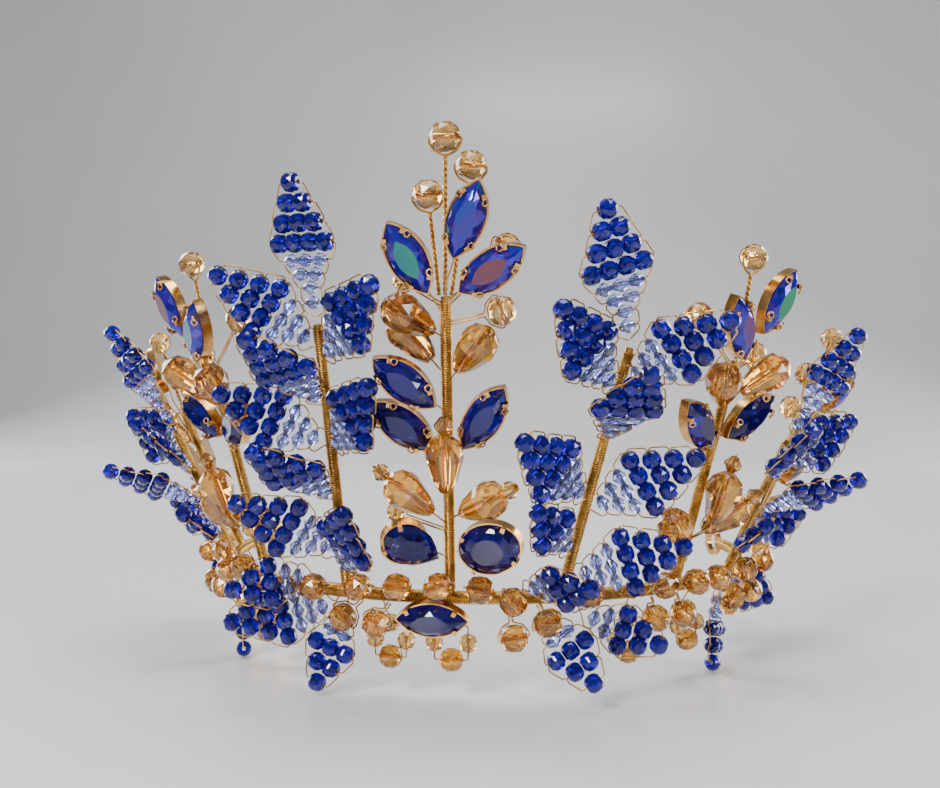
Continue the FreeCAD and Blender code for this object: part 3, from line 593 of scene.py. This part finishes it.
def aurora(name):
    """Foiled navy glass: violet and blue round the rim, and a table of its own colour."""
    material, tree, shader = new_material(name)
    facing = node_of(tree, "ShaderNodeLayerWeight", Blend=0.5).outputs["Facing"]
    drift = math_of(tree, "MULTIPLY", noise(tree, 180.0, 1.0), 0.5)
    place = math_of(tree, "ADD", drift, math_of(tree, "MULTIPLY", carried(tree, "facet"), 0.4))
    place = math_of(tree, "ADD", place, math_of(tree, "MULTIPLY", facing, 0.2))
    rim = ramp(
        tree,
        place,
        (
            (0.2, (0.0, 0.0, 0.16)),
            (0.4, (0.03, 0.0, 0.34)),
            (0.55, (0.0, 0.01, 0.40)),
            (0.68, (0.06, 0.0, 0.20)),
            (0.8, (0.0, 0.09, 0.24)),
        ),
    )
    half_drift = math_of(tree, "MULTIPLY", drift, 0.5)
    table = ramp(
        tree,
        math_of(tree, "MULTIPLY_ADD", carried(tree, "tint"), 0.8, half_drift),
        (
            (0.1, (0.0, 0.26, 0.11)),
            (0.32, (0.0, 0.11, 0.16)),
            (0.55, (0.0, 0.02, 0.30)),
            (0.68, (0.10, 0.003, 0.13)),
            (0.95, (0.13, 0.035, 0.01)),
        ),
    )
    sheen = mix(tree, "MIX", carried(tree, "table"), rim, table)
    tree.links.new(sheen, shader.inputs["Base Color"])
    shader.inputs["Metallic"].default_value = 0.5
    shader.inputs["Roughness"].default_value = 0.14
    shader.inputs["Coat Weight"].default_value = 0.45
    shader.inputs["Coat Roughness"].default_value = 0.02
    shader.inputs["Coat IOR"].default_value = 1.6
    return material


wire_gold = gold("wire_gold", (0.66, 0.38, 0.09), (0.24, 0.11, 0.02), 0.30, 0.25)
setting_gold = gold("setting_gold", (0.78, 0.44, 0.14), (0.36, 0.17, 0.04), 0.20, 0.12)
blue_glass = glass(
    "blue_glass",
    face=(0.012, 0.0, 0.40),
    rim=(0.006, 0.0, 0.19),
    deep=(0.001, 0.0, 0.06),
    transmission=0.72,
    cut=1.1,
    shine=0.3,
)
clear_glass = glass(
    "clear_glass",
    face=(0.47, 0.55, 1.0),
    rim=(0.17, 0.21, 0.88),
    deep=(0.30, 0.36, 0.97),
    transmission=0.94,
)
champagne_glass = glass(
    "champagne_glass",
    face=(0.94, 0.58, 0.20),
    rim=(0.50, 0.16, 0.01),
    deep=(0.74, 0.34, 0.06),
    transmission=0.92,
    cut=1.1,
)
amber_glass = glass(
    "amber_glass",
    face=(0.86, 0.44, 0.09),
    rim=(0.42, 0.12, 0.005),
    deep=(0.60, 0.22, 0.02),
    transmission=0.9,
    cut=1.1,
)
golden_glass = glass(
    "golden_glass",
    face=(0.92, 0.46, 0.06),
    rim=(0.5, 0.17, 0.005),
    deep=(0.75, 0.28, 0.01),
    transmission=0.85,
    cut=0.9,
)
navy_glass = glass(
    "navy_glass",
    face=(0.014, 0.0, 0.38),
    rim=(0.02, 0.002, 0.46),
    deep=(0.003, 0.0, 0.11),
    transmission=0.84,
    cut=1.4,
    shine=0.35,
)
aurora_glass = aurora("aurora_glass")

# ---------------------------------------------------------------- beads and stones


def always(shape):
    """A choice of cut that is the same at every size."""
    return lambda *_sizes: shape


def round_or_tip(half, length):
    """A spire's small beads: pointed ones at the ends of drops, round ones elsewhere."""
    return BICONE if length < half * 1.84 else ROUND


for branch in BRANCHES:
    node = f"{branch}_branch_blue_beads"
    beads(f"{branch}_blue_rondelles", always(RONDELLE), blue_glass, "crown", node)
    node = f"{branch}_branch_clear_beads"
    beads(f"{branch}_clear_bicones", always(BICONE), clear_glass, "crown", node)

for owner in ("centre_spire", "side_spire"):
    node = f"{owner}_teardrops"
    beads(f"{owner}_cut_drops", always(DROP), amber_glass, "crown", node)
    node = f"{owner}_beads"
    beads(f"{owner}_cut_beads", round_or_tip, champagne_glass, "crown", node)

for name, glass_of_it, slot in (
    ("berries", amber_glass, "champagne_glass"),
    ("ring_beads", champagne_glass, "champagne_glass"),
    ("golden_drops", golden_glass, "golden_glass"),
):
    beads(f"garland_cut_{name}", always(ROUND), glass_of_it, "crown", f"garland_{name}")
for sprig in SPRIGS:
    head = f"{sprig}_head"
    node = f"{sprig}_bead"
    beads(f"{sprig}_cut_bead", always(ROUND), champagne_glass, head, node)


def crystal(length, width):
    """The oval is nearly as wide as it is long; the pear is narrower."""
    return OVAL if width / length > 0.76 else PEAR


for owner in ("centre_spire", "side_spire"):
    node = f"{owner}_aurora_navettes"
    stones(f"{owner}_cut_aurora_stones", always(NAVETTE), aurora_glass, "crown", node)
    node = f"{owner}_navy_navettes"
    stones(f"{owner}_cut_navy_stones", always(NAVETTE), navy_glass, "crown", node)
stones("centre_cut_crystals", crystal, navy_glass, "crown", "centre_spire_crystals")
stones("band_cut_stone", always(NAVETTE), navy_glass, "crown", "band_navette")

ring_claws("centre_ring_claws", ["centre_spire_aurora_navettes", "centre_spire_navy_navettes"])
ring_claws("side_ring_claws", ["side_spire_aurora_navettes", "side_spire_navy_navettes"])

# ---------------------------------------------------------------- wound and twisted wire


def band_place(travel):
    """The band's centre line by the distance from its left end."""
    angle = travel / BAND_RADIUS - BAND_SWEEP
    out = Vector((math.sin(angle), -math.cos(angle), 0.0))
    along = Vector((math.cos(angle), math.sin(angle), 0.0))
    origin = Vector((CENTRE.x, CENTRE.y, BAND_HEIGHT)) + out * BAND_RADIUS
    return origin, along, out, Vector((0.0, 0.0, 1.0))


band_wound = Cut()
band_length = 2 * BAND_SWEEP * BAND_RADIUS
winding(band_length, band_place, BAND_WRAP - WOUND_WIRE, WOUND_PITCH, WOUND_WIRE, band_wound)
band_wound.build("band_wound_wire", wire_gold, "crown", ["band_binding_wrap"])


def wound_stems(name, stems, wrap_node):
    """Wire wound close along each of the stems."""
    made = Cut()
    for stem in stems:
        faces = np.vstack(solids_of(stem))
        centre, _, vectors, _ = measure(faces)
        axis = vectors[:, 2] * (1 if vectors[2, 2] > 0 else -1)
        low, high = extent(faces, centre, axis)
        start = Vector(centre + axis * (low + 0.65 * MM))
        along = Vector(axis)
        first = along.orthogonal().normalized()
        second = along.cross(first)
        winding(
            high - low - 1.6 * MM,
            lambda travel: (start + along * travel, along, first, second),
            STEM_WRAP - WOUND_WIRE,
            WOUND_PITCH,
            WOUND_WIRE,
            made,
        )
    return made.build(name, wire_gold, "crown", [wrap_node])


wound_stems("spire_wound_wire", [f"{spire}_spire_stem" for spire in SPIRES], "spire_stem_wraps")
wound_stems("branch_wound_wire", [f"{branch}_branch_stem" for branch in BRANCHES], "branch_stem_wraps")


def rounded(corners, bend, step):
    """A dense path along straight runs with round corners."""
    path = [corners[0]]
    for before, corner, after in zip(corners, corners[1:], corners[2:]):
        enter = corner + (before - corner).normalized() * bend
        leave = corner + (after - corner).normalized() * bend
        for i in range(7):
            t = i / 6
            path.append(enter * (1 - t) ** 2 + corner * 2 * t * (1 - t) + leave * t**2)
    path.append(corners[-1])
    dense = [path[0]]
    for point in path[1:]:
        count = max(1, int((point - dense[-1]).length / step))
        start = dense[-1]
        dense += [start.lerp(point, (i + 1) / count) for i in range(count)]
    return dense


def twisted_sprig(sprig):
    """A sprig's wire: two legs twisted together, then the loop that carries the bead."""
    foot = Vector(joints[f"{sprig}_sway"]["pos_m"])
    head = Vector(joints[f"{sprig}_bead_spin"]["pos_m"])
    across = Vector(joints[f"{sprig}_sway"]["axis"]).normalized()
    up = (head - foot).normalized()
    length = (head - foot).length
    place = frame_from(across, up, foot)
    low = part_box(f"{sprig}_bead")
    bead = min(low[1][i] - low[0][i] for i in range(3)) / 2
    neck = length - bead - 0.6 * MM
    made = Cut()
    for way in (1, -1):
        twist = []
        reach = way * SPRIG_WIRE * TWIST_OFFSET
        for i in range(int(neck / (TWIST_STEP * MM)) + 1):
            angle = 2 * math.pi * i * TWIST_STEP / TWIST_PITCH
            travel = TWIST_STEP * MM * i
            twist.append(Vector((reach * math.cos(angle), travel, reach * math.sin(angle))))
        corners = [
            Vector((way * 0.32 * MM, neck, 0)),
            Vector((way * 0.735 * bead, length - 0.92 * bead, 0)),
            Vector((way * (0.94 * bead + 0.48 * MM), length - bead / 3, 0)),
            Vector((way * (0.94 * bead + 0.48 * MM), length, 0)),
            Vector((0, length, 0)),
        ]
        points, faces = tube(twist + rounded(corners, 0.5 * MM, 0.2 * MM)[1:], SPRIG_WIRE)
        made.add(points, faces, place, 0.5, True)
    return made.build(f"{sprig}_twisted_wire", wire_gold, sprig, [f"{sprig}_wire"])


for sprig in SPRIGS:
    twisted_sprig(sprig)

# ---------------------------------------------------------------- metal that keeps its CAD shape

for name, node in nodes.items():
    metal = setting_gold if name.endswith(("_setting", "_settings", "_eye")) else wire_gold
    node.data.materials.clear()
    node.data.materials.append(metal)

# ---------------------------------------------------------------- floor, light and camera


def studio_floor():
    """A pale floor that curves up into a backdrop."""
    depth = [(-1.4, 0.0), (0.75, 0.0)]
    for i in range(1, 9):
        angle = math.radians(i * 90 / 8)
        depth.append((0.75 + 0.5 * math.sin(angle), 0.5 * (1 - math.cos(angle))))
    depth.append((1.25, 2.4))
    points = [(x, y, z - 0.0002) for y, z in depth for x in (-2.2, 2.2)]
    faces = [(2 * i, 2 * i + 1, 2 * i + 3, 2 * i + 2) for i in range(len(depth) - 1)]
    mesh = bpy.data.meshes.new("studio_floor")
    mesh.from_pydata(points, [], faces)
    mesh.polygons.foreach_set("use_smooth", [True] * len(faces))
    material, tree, shader = new_material("pale_floor")
    colour = ramp(tree, noise(tree, 3.0), ((0.3, (0.66, 0.66, 0.67)), (0.7, (0.72, 0.72, 0.73))))
    tree.links.new(colour, shader.inputs["Base Color"])
    shader.inputs["Roughness"].default_value = 0.22
    mesh.materials.append(material)
    floor = bpy.data.objects.new("studio_floor", mesh)
    bpy.context.scene.collection.objects.link(floor)


def area_light(name, place, aim, size, power, colour):
    """A soft rectangular light aimed at a point."""
    data = bpy.data.lights.new(name, "AREA")
    data.shape = "RECTANGLE"
    data.size, data.size_y = size
    data.energy = power
    data.color = colour
    light = bpy.data.objects.new(name, data)
    light.location = place
    light.rotation_euler = (Vector(aim) - Vector(place)).to_track_quat("-Z", "Y").to_euler()
    bpy.context.scene.collection.objects.link(light)


studio_floor()
middle = (CENTRE.x, CENTRE.y - 0.03, 0.06)
area_light("front_key", (-0.35, -0.75, 0.62), middle, (0.22, 0.2), 8.0, (1.0, 0.98, 0.95))
area_light("front_right", (0.65, -0.5, 0.35), middle, (0.15, 0.35), 3.0, (0.95, 0.97, 1.0))
area_light("window_left", (-0.8, 0.55, 0.4), middle, (0.4, 0.6), 9.0, (0.93, 0.96, 1.0))
area_light("window_right", (0.75, 0.65, 0.3), middle, (0.4, 0.6), 8.0, (1.0, 0.93, 0.84))
area_light("overhead", (0.0, 0.0, 0.95), middle, (0.6, 0.5), 7.0, (1.0, 1.0, 1.0))

world = bpy.data.worlds.new("soft_room")
bpy.context.scene.world = world
world.use_nodes = True
sky = world.node_tree
background = sky.nodes["Background"]
coordinates = sky.nodes.new("ShaderNodeTexCoord")
split = sky.nodes.new("ShaderNodeSeparateXYZ")
sky.links.new(coordinates.outputs["Generated"], split.inputs[0])
lift = math_of(sky, "MULTIPLY_ADD", split.outputs["Z"], 0.5, 0.5)
sky_tones = ((0.40, (0.05, 0.05, 0.05)), (0.52, (0.16, 0.16, 0.17)), (0.8, (0.42, 0.44, 0.48)))
tones = ramp(sky, lift, sky_tones)
sky.links.new(tones, background.inputs["Color"])
background.inputs["Strength"].default_value = 0.75

camera_data = bpy.data.cameras.new("camera")
camera_data.sensor_width = 36.0
camera_data.lens = CAMERA_LENS
camera_data.clip_start = 0.01
camera = bpy.data.objects.new("camera", camera_data)
camera.location = CENTRE + Vector((0.0, 0.0, BAND_HEIGHT)) + CAMERA_FROM_BAND
camera.rotation_euler = CAMERA_AIM.to_track_quat("-Z", "Y").to_euler()
bpy.context.scene.collection.objects.link(camera)
bpy.context.scene.camera = camera
